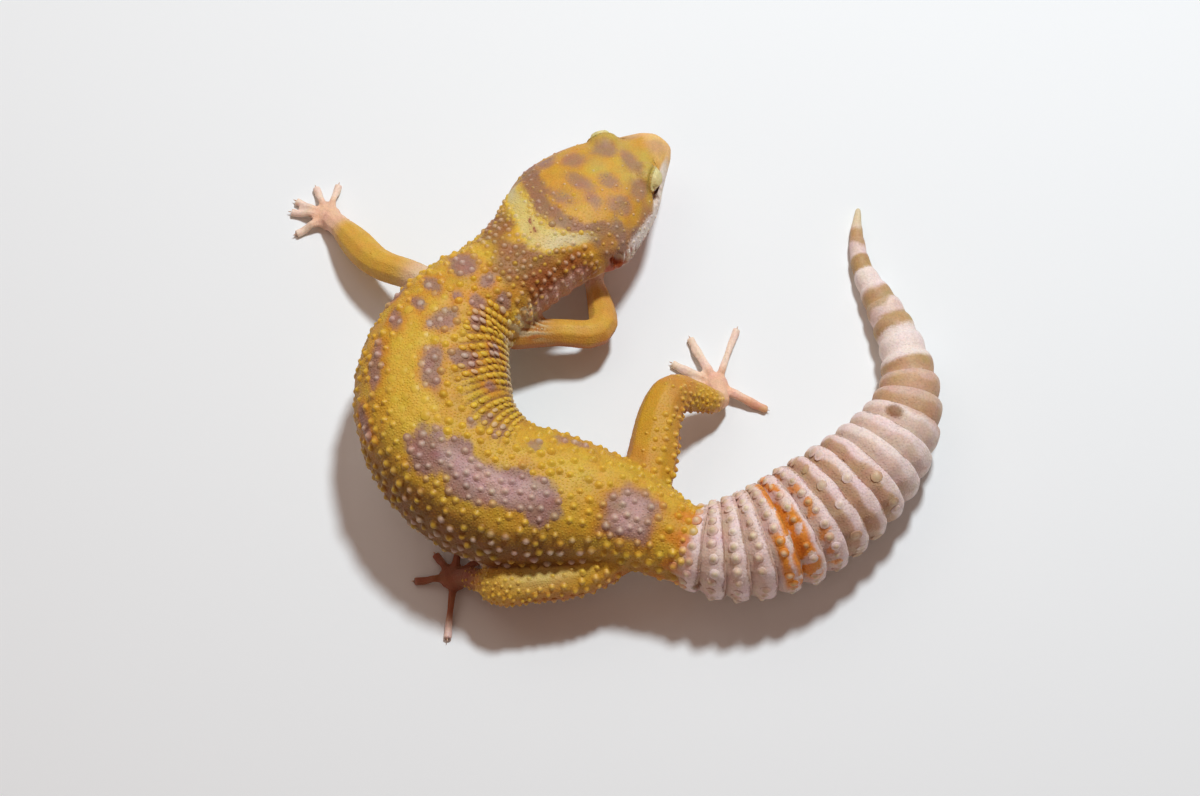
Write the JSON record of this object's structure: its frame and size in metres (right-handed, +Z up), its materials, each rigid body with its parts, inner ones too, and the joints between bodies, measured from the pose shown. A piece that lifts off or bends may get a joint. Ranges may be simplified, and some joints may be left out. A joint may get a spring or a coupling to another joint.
{
  "type": "leopard gecko",
  "caption": "Fat-tailed ground lizard at life size, curled to one side and resting on its feet and tail, a still museum model.",
  "frame": {"origin": "on the floor, below the middle of the model's bounding box", "axes": "+Z up from the floor; +X to the right as seen from the side the tail's thick part lies on, with the head at +Y and the tail's bend at +X; +Y away from that side"},
  "size_m": [0.1092, 0.087, 0.0233],
  "materials": {
    "yellow_scaled_skin": "matt, warty, golden yellow with mauve blotches",
    "pale_toe_skin": "matt, finely scaled, pale pink",
    "ringed_tail_skin": "satin, ringed, pink and tan",
    "wet_eye": "wet gloss"
  },
  "bodies": {
    "root": {"head": "yellow_scaled_skin", "lower_jaw": "yellow_scaled_skin", "eye_left": "wet_eye", "eye_right": "wet_eye", "neck": "yellow_scaled_skin", "shoulders": "yellow_scaled_skin", "trunk_front": "yellow_scaled_skin", "trunk_rear": "yellow_scaled_skin", "hips": "yellow_scaled_skin", "tail_root": "ringed_tail_skin", "tail_fat_part": "ringed_tail_skin", "tail_middle": "ringed_tail_skin", "tail_taper": "ringed_tail_skin", "tail_tip": "ringed_tail_skin", "upper_arm_left": "yellow_scaled_skin", "forearm_left": "yellow_scaled_skin", "hand_left": "pale_toe_skin", "upper_arm_right": "yellow_scaled_skin", "forearm_right": "yellow_scaled_skin", "hand_right": "pale_toe_skin", "thigh_left": "yellow_scaled_skin", "shin_left": "yellow_scaled_skin", "foot_left": "pale_toe_skin", "thigh_right": "yellow_scaled_skin", "shin_right": "yellow_scaled_skin", "foot_right": "pale_toe_skin"}
  },
  "joints": []
}
